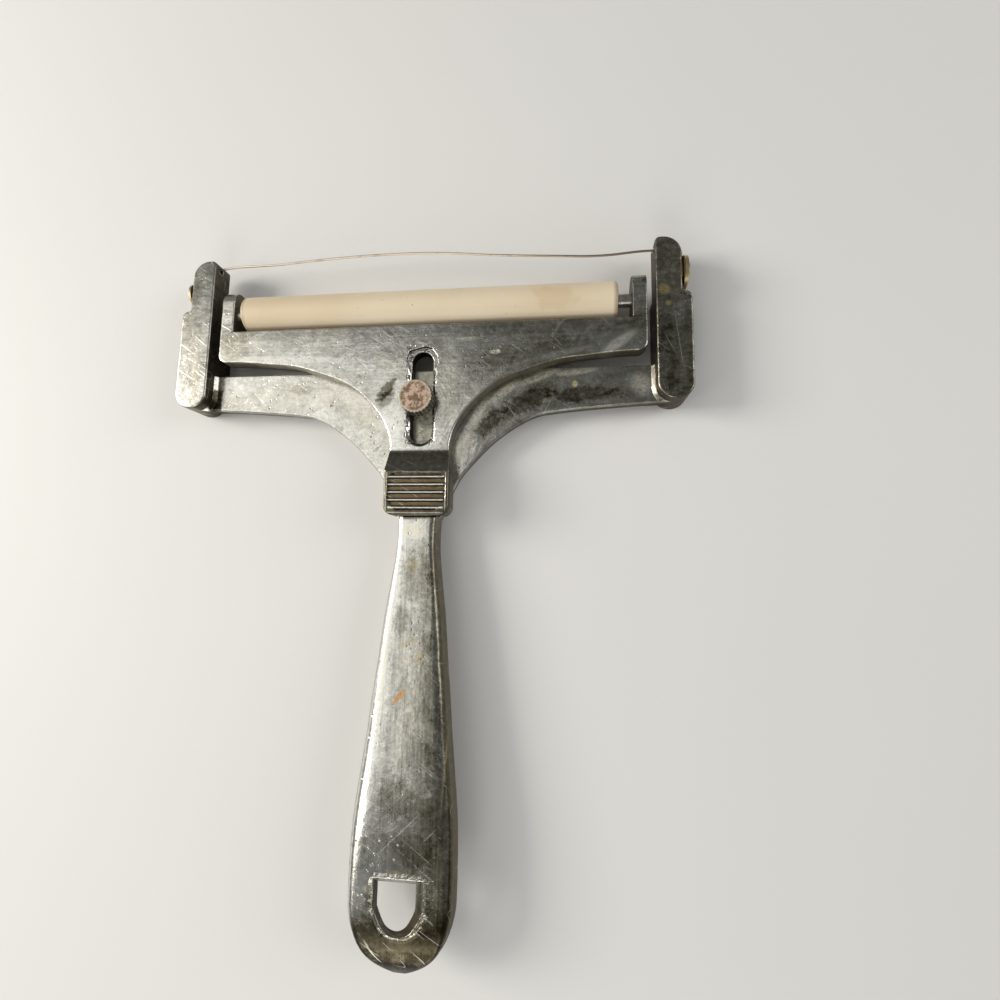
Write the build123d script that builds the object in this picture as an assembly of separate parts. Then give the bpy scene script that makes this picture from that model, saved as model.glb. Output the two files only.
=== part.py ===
from build123d import *
from math import asin, atan2, cos, hypot, pi, radians, sin, tan
import os

os.makedirs("parts", exist_ok=True)

# Adjustable wire slicer, lying on the flat back of its frame.
# While it is modelled, Y = 0 is the front edge of the crossbar, +Y points to the wire
# and Z = 0 is the table. At the end every piece moves so that the origin is the centre
# of the base of the whole object's box.

# Frame casting: arms
arm_span = 133.0
arm_width = 8.6
arm_tip_width = 6.3
arm_height = 9.5
arm_forward = 31.4
arm_shoulder = 17.2
arm_back = 9.6
arm_tip_lift = 3.3
arm_heel_flat = 0.4
arm_tip_inner_radius = 1.2
arm_tip_flat = 0.7
arm_shoulder_flat = 0.2
arm_edge_round = 0.5
arm_foot_round = 0.8

# Frame casting: crossbar and yoke
yoke_thickness = 5.5
yoke_reach = 38.0
yoke_draft = 1.0
yoke_edge_bevel = 0.4
yoke_neck_lip = 0.25
neck_ramp = 4.5
neck_ramp_sink = 0.5

# Frame casting: handle
handle_reach = 138.8
handle_half = 12.4
handle_top = 12.2
handle_wall_draft = 0.5
handle_edge_inset = 2.0
handle_edge_drop = 1.5
handle_under_inset = 1.6
handle_shell = 2.6
handle_side_wall = 2.4
hang_rim_half = 5.8
hang_rim_margin = 9.0
hang_rim_length = 12.0
hang_rim_rise = 0.3
hang_flare_depth = 2.7
hang_flare_width = 1.4
hang_flare_shift = 1.15
hang_flare_top = 2.2
hang_flare_bottom = -0.3

# Slide plate
plate_thickness = 4.0
plate_arm_gap = 2.5
plate_side_edge = 2.4
plate_reach = 22.0
plate_corner_radius = 2.2
plate_edge_round = 0.35
plate_side_play = 0.4
ear_thickness = 3.5
ear_reach = 22.7
ear_height = 6.4
slot_play = 0.8
slot_front = 3.9
slot_margin = 2.1
slot_rim = 0.8
slot_wear = 1.3
slot_wear_front = 0.7
slot_wear_length = 6.2
slot_wear_depth = 0.9

# Thumb pad
pad_side_gap = 0.9
pad_wall = 1.85
pad_step = 0.65
pad_foot_margin = 0.3
pad_slope = 5.4
pad_length = 10.7
pad_over_neck = 1.0
pad_roof = 2.5
pad_corner_radius = 2.4
pad_edge_round = 0.5
pad_border = 0.85
pad_border_front = 0.4
pad_border_back = 0.8
pad_recess_depth = 0.8
pad_cut_front = 1.3
pad_cut_back = 2.6
rib_count = 5
rib_foot = 1.1
rib_crest = 0.3
rib_edge = 1.0

# Roller and axle
axle_radius = 1.7
axle_set_back = 6.35
axle_rise = 0.4
axle_fit = 0.04
roller_radius = 4.75
roller_end_gap = 3.1
roller_front_gap = 0.6
roller_end_round = 0.8
roller_fit = 0.08

# Thumb screw
screw_back = 9.1
screw_radius = 2.0
screw_thread_gap = 0.04
screw_floor_gap = 0.6
screw_head_radius = 4.2
screw_head_height = 4.1
screw_head_bevel = 0.3
knurl_count = 28
knurl_depth = 0.3

# Cutting wire, its holes and its screws
wire_diameter = 0.55
wire_hole_radius = 0.9
wire_hole_set_back = 1.8
wire_hole_rise = 0.7
wire_hole_mouth = 0.6
wire_hole_gap = 0.175
wire_lift = 0.18
wire_bow = 2.35
wire_bend = 1.0
wire_tail = 2.2
side_screw_set_back = 6.6
side_screw_radius = 1.5
side_screw_wall = 1.3
side_screw_end_gap = 0.4
right_head_radius = 4.15
right_head_rim = 0.8
right_head_dome = 0.9
left_head_radius = 3.05
left_head_rim = 0.5
left_head_dome = 0.3
side_head_slot = 1.0
side_head_slot_share = 0.55

overrun = 1.0

# Rear edge of the yoke from the arm to the neck: shares of the way from the neck's side
# to the arm's outer side, and of the way from the arm's heel back to the neck
yoke_edge_shares = [
    (0.935, 0.0), (0.826, 0.0), (0.696, 0.018), (0.533, 0.045), (0.457, 0.063), (0.402, 0.081),
    (0.337, 0.138), (0.283, 0.208), (0.216, 0.316), (0.134, 0.493), (0.08, 0.631), (0.035, 0.823),
]
# Handle stations: shares of the way from the neck to its end, of its half width, of its
# top's height, and of that height again for the underside
handle_station_shares = [
    (0.0, 0.427, 0.656, 0.03), (0.04, 0.429, 0.676, 0.13), (0.079, 0.444, 0.694, 0.2),
    (0.128, 0.488, 0.717, 0.245), (0.199, 0.568, 0.75, 0.285), (0.279, 0.643, 0.788, 0.322),
    (0.367, 0.712, 0.83, 0.36), (0.496, 0.817, 0.891, 0.42), (0.614, 0.927, 0.946, 0.475),
    (0.694, 0.982, 0.982, 0.505), (0.754, 0.997, 0.998, 0.52), (0.824, 1.0, 1.0, 0.53),
    (0.876, 0.968, 1.0, 0.532), (0.917, 0.868, 0.992, 0.536), (0.952, 0.71, 0.95, 0.55),
    (0.977, 0.505, 0.87, 0.58), (0.992, 0.31, 0.79, 0.62), (1.0, 0.15, 0.74, 0.66),
]
handle_parting_share = 0.4
# Stations that the hollow in the handle's back runs between
hollow_first = 2
hollow_last = 14
nose_inset_share = 0.4
# Lower part of the hanging hole: shares of its half width and of its length
hang_curve_shares = [(1.0, 0.31), (0.985, 0.52), (0.75, 0.75), (0.44, 0.93), (0.0, 1.0)]
# Rear edge of the slide plate from its side to the pad: shares of the way from the neck's
# side to the plate's outer side, and of the way back
plate_edge_shares = [
    (0.804, 0.012), (0.677, 0.037), (0.555, 0.066), (0.398, 0.156), (0.242, 0.283),
    (0.138, 0.447), (0.061, 0.623), (0.014, 0.811),
]
# Worn front end of the slot's rim: shares of its half width and of its length
slot_end_shares = [
    (-1.0, 0.45), (-0.84, 0.1), (-0.3, 0.0), (0.15, -0.06), (0.62, 0.0), (0.95, 0.35),
    (1.0, 0.7), (0.7, 1.0), (-0.75, 1.0),
]
# Route of the bowed wire between the arms: shares of the arms' inner half width, of the
# bow and of the play in the holes
wire_route_shares = [
    (-1.0, 0.22, -1.0), (-0.93, 0.44, -0.9), (-0.84, 0.47, -0.8), (-0.73, 0.45, -0.7),
    (-0.545, 0.72, -0.5), (-0.36, 0.95, -0.4), (-0.17, 1.02, -0.3), (0.0, 0.94, -0.2),
    (0.145, 0.68, -0.1), (0.25, 0.36, 0.0), (0.41, 0.02, 0.2), (0.58, -0.26, 0.4),
    (0.73, -0.53, 0.6), (0.83, -0.5, 0.8), (0.94, -0.25, 0.9),
]
wire_run_share = 0.45
wrap_share = 0.95
wrap_corners = 3

# Places that follow from the sizes
arm_outer = arm_span / 2
arm_inner = arm_outer - arm_width
arm_tip_outer = arm_inner + arm_tip_width
arm_heel_radius = (arm_width - arm_heel_flat) / 2
arm_tip_outer_radius = arm_tip_width - arm_tip_inner_radius - arm_tip_flat
arm_shoulder_radius = arm_width - arm_tip_width - arm_edge_round - arm_shoulder_flat
tip_middle = (arm_tip_lift + arm_height) / 2
neck_half = handle_half * handle_station_shares[0][1]
neck_top = handle_top * handle_station_shares[0][2]
plate_outer = arm_inner - plate_arm_gap
plate_top = yoke_thickness + plate_thickness
ear_inner = plate_outer - ear_thickness
ear_radius = ear_height / 2
ear_centre_z = plate_top - ear_radius
ear_centre_y = ear_reach - ear_radius
axle_reach = ear_reach - axle_set_back
axle_height = ear_centre_z + axle_rise
plate_front = axle_reach - roller_radius - roller_front_gap
roller_length = (ear_inner - roller_end_gap) * 2
slot_width = (screw_radius + slot_play) * 2
slot_back = plate_reach - slot_margin
pad_inner_half = neck_half + pad_side_gap
pad_half = pad_inner_half + pad_wall
pad_foot = plate_reach - pad_foot_margin
pad_crest = pad_foot + pad_slope
pad_end = pad_crest + pad_length
pad_top = neck_top + pad_over_neck + pad_roof
wire_radius = wire_diameter / 2
wire_hole_reach = arm_forward - wire_hole_set_back
wire_hole_height = tip_middle + wire_hole_rise
wire_play = wire_hole_radius - wire_radius - wire_hole_gap
side_screw_reach = wire_hole_reach - side_screw_set_back
side_screw_height = tip_middle
side_screw_depth = arm_tip_width - side_screw_wall
up = (0, 0, 1)
down = (0, 0, -1)
outward = (1, 0, 0)


def flip(points):
    return [(-x, y) for x, y in reversed(points)]


def pushed_out(points, distance):
    # Moves each point of a rear edge outwards, square to the line between its neighbours
    moved = []
    for index, point in enumerate(points):
        before = points[max(index - 1, 0)]
        after = points[min(index + 1, len(points) - 1)]
        along_x, along_y = after[0] - before[0], after[1] - before[1]
        length = hypot(along_x, along_y)
        moved.append((point[0] - along_y / length * distance, point[1] + along_x / length * distance))
    return moved


def wing_face(edge, front, z):
    # Flat face with a straight front edge and two mirrored rear edges that meet at a neck
    left = flip(edge)
    outline = [
        Line(left[-1], (-edge[0][0], front)),
        Line((-edge[0][0], front), (edge[0][0], front)),
        Line((edge[0][0], front), edge[0]),
        Spline(*edge),
        Line(edge[-1], left[0]),
        Spline(*left),
    ]
    return Pos(0, 0, z) * Face(Wire(outline))


def handle_section(y_share, half_share, top_share, under_share):
    half = half_share * handle_half
    top = top_share * handle_top
    under = under_share * handle_top
    inset = min(handle_edge_inset, half * nose_inset_share)
    draft = min(handle_wall_draft, inset * nose_inset_share)
    under_inset = min(handle_under_inset, half * nose_inset_share)
    drop = min(handle_edge_drop, (top - under) * nose_inset_share)
    parting = under + (top - under) * handle_parting_share
    right = [(half - under_inset, under), (half, parting), (half - draft, top - drop), (half - inset, top)]
    left = flip(right)
    edges = [
        Line(left[3], right[0]),
        Line(right[0], right[1]),
        Line(right[1], right[2]),
        Bezier(right[2], (half - draft, top), right[3]),
        Line(right[3], left[0]),
        Bezier(left[0], (draft - half, top), left[1]),
        Line(left[1], left[2]),
        Line(left[2], left[3]),
    ]
    reach = yoke_reach + (handle_reach - yoke_reach) * y_share
    return Plane.XZ.offset(reach) * Face(Wire(edges))


def hollow_section(y_share, half_share, top_share, under_share):
    half = half_share * handle_half - handle_side_wall
    roof = top_share * handle_top - handle_shell
    low = under_share * handle_top - overrun
    reach = yoke_reach + (handle_reach - yoke_reach) * y_share
    outline = Polyline((-half, low), (half, low), (half, roof), (-half, roof), close=True)
    return Plane.XZ.offset(reach) * make_face(outline)


def hang_face(half, start, length, z):
    curve = [(half * across, -(start + length * along)) for across, along in hang_curve_shares]
    left = flip(curve)
    edges = [
        Line((-half, -start), (half, -start)),
        Line((half, -start), curve[0]),
        Spline(*curve, *left[1:], tangents=[(0, -1), (0, 1)]),
        Line(left[-1], (-half, -start)),
    ]
    return Pos(0, 0, z) * Face(Wire(edges))


def make_arm():
    outline = [
        (arm_inner, -arm_back), (arm_outer, -arm_back), (arm_outer, arm_shoulder),
        (arm_tip_outer, arm_shoulder), (arm_tip_outer, arm_forward), (arm_inner, arm_forward),
    ]
    radii = [
        arm_heel_radius, arm_heel_radius, arm_shoulder_radius, arm_edge_round,
        arm_tip_outer_radius, arm_tip_inner_radius,
    ]
    plan = make_face(Polyline(*outline, close=True))
    for corner, radius in zip(outline, radii):
        nearest = plan.vertices().sort_by_distance((corner[0], corner[1], 0))[0]
        plan = fillet(nearest, radius)
    arm = extrude(plan, arm_height)
    tip_length = arm_forward - arm_shoulder
    under_tip = Pos((arm_inner + arm_outer) / 2, arm_shoulder + tip_length / 2 + overrun, arm_tip_lift / 2)
    arm -= under_tip * Box(arm_width + overrun * 2, tip_length + overrun * 2, arm_tip_lift)
    return fillet(arm.faces().sort_by(Axis.Z)[-1].edges(), arm_edge_round)


def arm_foot():
    # Small slope where the arm's side meets the top of the crossbar
    middle = Pos((arm_inner + arm_outer) / 2, 0, 0)
    grow = arm_foot_round * 2
    low = RectangleRounded(arm_width + grow, arm_back * 2 + grow, arm_heel_radius + arm_foot_round)
    high = RectangleRounded(arm_width, arm_back * 2, arm_heel_radius)
    above = yoke_thickness + arm_foot_round
    return loft([middle * Pos(0, 0, yoke_thickness) * low, middle * Pos(0, 0, above) * high], ruled=True)


def make_frame():
    run = yoke_reach - arm_back
    narrow = neck_half + yoke_neck_lip
    side = arm_outer - narrow
    edge = [(narrow + side * across, -arm_back - run * along) for across, along in yoke_edge_shares]
    edge.append((narrow, -yoke_reach))
    low_edge = pushed_out(edge, -yoke_draft)
    low_edge[0] = (edge[0][0], low_edge[0][1])
    low_edge[-1] = (low_edge[-1][0], edge[-1][1])
    yoke = loft([wing_face(low_edge, 0, 0), wing_face(edge, 0, yoke_thickness)], ruled=True)
    rear = yoke.faces().sort_by(Axis.Z)[-1].edges().filter_by(GeomType.BSPLINE)
    yoke = chamfer(rear, yoke_edge_bevel)
    arm = make_arm()
    foot = arm_foot() & extrude(wing_face(edge, 0, yoke_thickness), arm_foot_round, dir=up)
    side = arm + foot
    frame = yoke + side + mirror(side, Plane.YZ)
    stations = [handle_section(*shares) for shares in handle_station_shares]
    handle = loft(stations)
    first = handle_station_shares[0]
    sunk = (yoke_thickness - neck_ramp_sink) / handle_top
    ramp_end = (-neck_ramp / (handle_reach - yoke_reach), first[1], sunk, first[3])
    ramp = loft([stations[0], handle_section(*ramp_end)], ruled=True)
    hollow = [hollow_section(*shares) for shares in handle_station_shares[hollow_first:hollow_last + 1]]
    frame = frame + ramp + (handle - loft(hollow))
    hang_rim_start = handle_reach - hang_rim_margin - hang_rim_length
    hole_start = hang_rim_start + hang_flare_top
    hole_length = hang_rim_length - hang_flare_top - hang_flare_bottom
    rim_z = handle_top + hang_rim_rise
    narrow = hang_face(hang_rim_half - hang_flare_width, hole_start, hole_length, rim_z - hang_flare_depth)
    narrow = Pos(-hang_flare_shift, 0, 0) * narrow
    wide = hang_face(hang_rim_half, hang_rim_start, hang_rim_length, rim_z)
    frame -= loft([narrow, wide], ruled=True)
    frame -= extrude(narrow, handle_top, dir=down)
    frame -= Pos(0, -screw_back, yoke_thickness / 2) * Cylinder(
        screw_radius + screw_thread_gap, yoke_thickness + overrun
    )
    for side in (-1, 1):
        middle = side * (arm_inner + arm_tip_width / 2)
        outer = side * arm_tip_outer
        across = Rot(0, 90, 0)
        frame -= Pos(middle, wire_hole_reach, wire_hole_height) * across * Cylinder(
            wire_hole_radius, arm_tip_width + overrun
        )
        mouth = Rot(0, side * 90, 0) * Cone(
            wire_hole_radius, wire_hole_radius + wire_hole_mouth, wire_hole_mouth,
            align=(Align.CENTER, Align.CENTER, Align.MAX)
        )
        frame -= Pos(outer, wire_hole_reach, wire_hole_height) * mouth
        depth = side_screw_depth + side_screw_end_gap
        frame -= Pos(outer - side * depth / 2, side_screw_reach, side_screw_height) * across * Cylinder(
            side_screw_radius + screw_thread_gap, depth
        )
    return frame


def make_slide_plate():
    narrow = pad_half - pad_step
    side = plate_outer - narrow
    run = plate_reach + plate_side_edge
    edge = [(plate_outer, plate_side_edge)]
    edge += [(narrow + side * across, plate_side_edge - run * along) for across, along in plate_edge_shares]
    edge.append((narrow, -plate_reach))
    left = flip(edge)
    outline = [
        Line((-plate_outer, plate_front), (plate_outer, plate_front)),
        Line((plate_outer, plate_front), edge[0]),
        Spline(*edge),
        Line(edge[-1], left[0]),
        Spline(*left),
        Line(left[-1], (-plate_outer, plate_front)),
    ]
    plate = extrude(Pos(0, 0, yoke_thickness) * Face(Wire(outline)), plate_thickness, dir=up)
    corners = plate.edges().filter_by(Axis.Z).filter_by(
        lambda e: abs(abs(e.center().X) - plate_outer) < overrun and e.center().Y < plate_front / 2
    )
    plate = fillet(corners, plate_corner_radius)

    lower = plate_top - ear_height
    profile = [
        (plate_front - overrun, yoke_thickness), (plate_front - overrun, plate_top),
        (ear_centre_y, plate_top),
    ]
    under = [
        (ear_centre_y, lower), (plate_front, lower), (plate_front, yoke_thickness),
        (plate_front - overrun, yoke_thickness),
    ]
    tip = ThreePointArc(profile[-1], (ear_reach, ear_centre_z), under[0])
    ear_face = Face(Wire([*Polyline(*profile).edges(), tip, *Polyline(*under).edges()]))
    ear = extrude(Plane.YZ.offset(ear_inner) * ear_face, ear_thickness, dir=outward)
    plate = plate + ear + mirror(ear, Plane.YZ)
    top_edges = plate.faces().filter_by(Axis.Z).sort_by(Axis.Z)[-1].outer_wire().edges()
    top_edges = top_edges.filter_by(lambda e: e.center().Y < ear_centre_y - ear_radius)
    plate = fillet(top_edges, plate_edge_round)

    roof = pad_top - pad_roof
    side = [
        (-pad_foot + overrun, yoke_thickness), (-pad_foot + overrun, plate_top), (-pad_foot, plate_top),
        (-pad_crest, pad_top), (-pad_end, pad_top), (-pad_end, yoke_thickness),
    ]
    pad = extrude(Plane.YZ * make_face(Polyline(*side, close=True)), pad_half, both=True)
    waist = [
        (narrow, overrun - pad_foot), (narrow, -pad_foot), (pad_half, -pad_crest), (pad_half, -pad_end),
    ]
    pad_plan = make_face(Polyline(*waist, *flip(waist), close=True))
    pad &= extrude(pad_plan, pad_top + overrun, dir=up)
    rear = pad.edges().filter_by(Axis.Z).sort_by(Axis.Y)[:2]
    pad = fillet(rear, pad_corner_radius)
    pad = fillet(pad.faces().sort_by(Axis.Z)[-1].edges(), pad_edge_round)
    hollow = [
        (-plate_reach, yoke_thickness), (-plate_reach - pad_slope, roof), (-pad_end - overrun, roof),
        (-pad_end - overrun, yoke_thickness - overrun), (-plate_reach, yoke_thickness - overrun),
    ]
    recess_half = pad_half - pad_border
    recess_front = -pad_crest - pad_border_front
    recess_back = -pad_end + pad_border_back
    recess_corners = [
        (-recess_half, recess_front - pad_cut_front), (-recess_half + pad_cut_front, recess_front),
        (recess_half - pad_cut_front, recess_front), (recess_half, recess_front - pad_cut_front),
        (recess_half, recess_back + pad_cut_back), (recess_half - pad_cut_back, recess_back),
        (-recess_half + pad_cut_back, recess_back), (-recess_half, recess_back + pad_cut_back),
    ]
    floor = Pos(0, 0, pad_top - pad_recess_depth) * make_face(Polyline(*recess_corners, close=True))
    recess = extrude(floor, pad_recess_depth)
    pad -= recess
    first_rib = recess_front - rib_edge
    rib_pitch = (first_rib - recess_back - rib_edge) / (rib_count - 1)
    rib_floor = pad_top - pad_recess_depth
    for index in range(rib_count):
        y = first_rib - index * rib_pitch
        ridge = [
            (y - rib_foot / 2, rib_floor), (y + rib_foot / 2, rib_floor),
            (y + rib_crest / 2, pad_top), (y - rib_crest / 2, pad_top),
        ]
        rib = extrude(Plane.YZ * make_face(Polyline(*ridge, close=True)), pad_half, both=True)
        pad += recess & rib
    plate += pad
    plate -= extrude(Plane.YZ * make_face(Polyline(*hollow, close=True)), pad_inner_half, both=True)

    slot_length = slot_back + slot_front
    slot_middle = (slot_front - slot_back) / 2
    slot = Pos(0, slot_middle, yoke_thickness) * Rot(0, 0, 90) * SlotOverall(slot_length, slot_width)
    plate -= extrude(slot, plate_thickness + overrun)
    rim = plate.edges().filter_by(
        lambda e: abs(e.center().Z - plate_top) < slot_rim / 2 and abs(e.center().X) < slot_width
        and -slot_back - overrun < e.center().Y < slot_front + overrun
    )
    plate = chamfer(rim, slot_rim)
    worn_half = slot_width / 2 + slot_wear
    worn = [
        (worn_half * across, slot_front + slot_wear_front - slot_wear_length * along)
        for across, along in slot_end_shares
    ]
    worn_face = Pos(0, 0, plate_top - slot_wear_depth) * make_face(Polyline(*worn, close=True))
    plate -= extrude(worn_face, slot_wear_depth + overrun)
    plate -= Pos(0, axle_reach, axle_height) * Rot(0, 90, 0) * Cylinder(
        axle_radius + axle_fit, plate_outer * 2 + overrun
    )
    return plate


def make_roller():
    tube = Cylinder(roller_radius, roller_length)
    tube = fillet(tube.edges().filter_by(GeomType.CIRCLE), roller_end_round)
    tube -= Cylinder(axle_radius + roller_fit, roller_length + overrun)
    return Pos(0, axle_reach, axle_height) * Rot(0, 90, 0) * tube


def make_axle():
    return Pos(0, axle_reach, axle_height) * Rot(0, 90, 0) * Cylinder(axle_radius, plate_outer * 2)


def make_thumb_screw():
    teeth = []
    for index in range(knurl_count * 2):
        angle = pi * index / knurl_count
        radius = screw_head_radius - knurl_depth * (index % 2)
        teeth.append((radius * cos(angle), radius * sin(angle)))
    head = extrude(make_face(Polyline(*teeth, close=True)), screw_head_height)
    turned = Pos(0, 0, screw_head_height / 2) * Cylinder(screw_head_radius, screw_head_height)
    head &= chamfer(turned.edges().filter_by(GeomType.CIRCLE), screw_head_bevel)
    shank_length = plate_top - screw_floor_gap
    shank = Pos(0, 0, -shank_length / 2) * Cylinder(screw_radius, shank_length)
    return Pos(0, -screw_back, plate_top) * (head + shank)


def make_wire_screw(side):
    # The right screw has a broad domed head, the left one a low and narrow head
    stand_off = wire_diameter + screw_thread_gap
    radius = right_head_radius if side > 0 else left_head_radius
    rim = right_head_rim if side > 0 else left_head_rim
    dome = right_head_dome if side > 0 else left_head_dome
    dome_radius = (radius * radius + dome * dome) / (dome * 2)
    slot_depth = (rim + dome) * side_head_slot_share
    head = Pos(0, 0, rim / 2) * Cylinder(radius, rim)
    ball = Pos(0, 0, rim + dome - dome_radius) * Sphere(dome_radius)
    head += ball & Pos(0, 0, rim + dome / 2) * Cylinder(radius, dome)
    cut = Pos(0, 0, rim + dome - slot_depth / 2)
    head -= cut * Box(radius * 2 + overrun, side_head_slot, slot_depth)
    shank_length = side_screw_depth + stand_off
    shank = Pos(0, 0, -shank_length / 2) * Cylinder(side_screw_radius, shank_length)
    screw = Pos(stand_off, 0, 0) * Rot(0, 90, 0) * (head + shank)
    screw = Pos(arm_tip_outer, side_screw_reach, side_screw_height) * screw
    return screw if side > 0 else mirror(screw, Plane.YZ)


def wire_end(side):
    # From the hole in the arm's tip, along the outer face and half way round the screw
    lie = side * (arm_tip_outer + wire_radius + screw_thread_gap / 2)
    wrap = side_screw_radius + wire_radius + screw_thread_gap
    start = (lie, wire_hole_reach - side * wire_play, wire_hole_height - side * wire_lift)
    off_y, off_z = start[1] - side_screw_reach, start[2] - side_screw_height
    climb = asin(wrap / hypot(off_y, off_z)) - atan2(off_z, off_y)
    turn = (pi + climb) / wrap_corners
    points = [start]
    for index in range(wrap_corners):
        angle = turn * (index + 1 / 2) - climb
        far = wrap / cos(turn / 2)
        points.append((lie, side_screw_reach - far * sin(angle), side_screw_height + far * cos(angle)))
    last = side_screw_height - wrap
    points.append((lie, side_screw_reach + wire_tail, last))
    return points, wrap


def make_wire():
    middle = [
        (arm_inner * across, wire_hole_reach + wire_bow * out, wire_hole_height + wire_lift * lift)
        for across, out, lift in wire_route_shares
    ]
    left, wrap = wire_end(-1)
    right, wrap = wire_end(1)
    points = list(reversed(left)) + middle + right
    radii = []
    for index in range(1, len(points) - 1):
        before, here, after = [Vector(*p) for p in points[index - 1:index + 2]]
        turn = radians((here - before).get_angle(after - here))
        shorter = min((here - before).length, (after - here).length)
        radii.append(wire_run_share * shorter / tan(turn / 2))
    for index in range(wrap_corners):
        radii[index] = radii[-1 - index] = wrap * wrap_share
    radii[wrap_corners] = radii[-1 - wrap_corners] = wire_bend
    print("wire radii", [round(r, 1) for r in radii])
    path = FilletPolyline(*points, radius=radii)
    start = Plane(path @ 0, z_dir=path % 0)
    wire = sweep(start * Circle(wire_radius), path)
    share = wire.volume / (pi * wire_radius**2 * path.length)
    print("wire length", round(path.length, 2), "volume share", share)
    return wire


pieces = {
    "frame": make_frame(),
    "slide_plate": Pos(plate_side_play, 0, 0) * make_slide_plate(),
    "roller": make_roller(),
    "roller_axle": Pos(plate_side_play, 0, 0) * make_axle(),
    "thumb_screw": make_thumb_screw(),
    "cutting_wire": make_wire(),
    "wire_screw_right": make_wire_screw(1),
    "wire_screw_left": make_wire_screw(-1),
}

boxes = [piece.bounding_box() for piece in pieces.values()]
front = max(box.max.Y for box in boxes)
back = min(box.min.Y for box in boxes)
seat = Pos(0, -(front + back) / 2, 0)
print("shift in Y", -(front + back) / 2)
for name, piece in pieces.items():
    export_step(seat * piece, f"parts/{name}.step")
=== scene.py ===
import bpy
from math import atan2, cos, hypot, radians, sin
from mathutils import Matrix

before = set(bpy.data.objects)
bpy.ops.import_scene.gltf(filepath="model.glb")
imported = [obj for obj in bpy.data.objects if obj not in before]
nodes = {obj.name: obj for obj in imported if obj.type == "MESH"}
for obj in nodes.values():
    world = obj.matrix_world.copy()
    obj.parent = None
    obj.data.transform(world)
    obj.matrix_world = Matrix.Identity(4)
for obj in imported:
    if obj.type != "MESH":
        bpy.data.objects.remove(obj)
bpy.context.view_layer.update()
print("frame loaded:", len(nodes), "nodes")


# Shader maths: a wrapped socket takes + - * / and adds its Math nodes
class Field:
    def __init__(self, finish, socket):
        self.finish = finish
        self.socket = socket

    def maths(self, operation, *others):
        return self.finish.add("Math", [self, *others], operation=operation)

    def __add__(self, other):
        return self.maths("ADD", other)

    def __radd__(self, other):
        return self.maths("ADD", other)

    def __sub__(self, other):
        return self.maths("SUBTRACT", other)

    def __rsub__(self, other):
        return self.finish.add("Math", [other, self], operation="SUBTRACT")

    def __mul__(self, other):
        return self.maths("MULTIPLY", other)

    def __rmul__(self, other):
        return self.maths("MULTIPLY", other)

    def __truediv__(self, other):
        return self.maths("DIVIDE", other)

    def __rtruediv__(self, other):
        return self.finish.add("Math", [other, self], operation="DIVIDE")

    def __pow__(self, other):
        return self.maths("POWER", other)

    def __abs__(self):
        return self.maths("ABSOLUTE")

    def timesPlus(self, other, more):
        return self.maths("MULTIPLY_ADD", other, more)

    def least(self, other):
        return self.maths("MINIMUM", other)

    def most(self, other):
        return self.maths("MAXIMUM", other)

    def step(self, low, high):
        # 0 below low, 1 above high, smooth between; low above high turns it round
        swap = low > high
        if swap:
            low, high = high, low
        out = self.finish.add(
            "MapRange", [self, low, high, 0.0, 1.0], interpolation_type="SMOOTHSTEP", clamp=True
        )
        return 1.0 - out if swap else out


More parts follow.
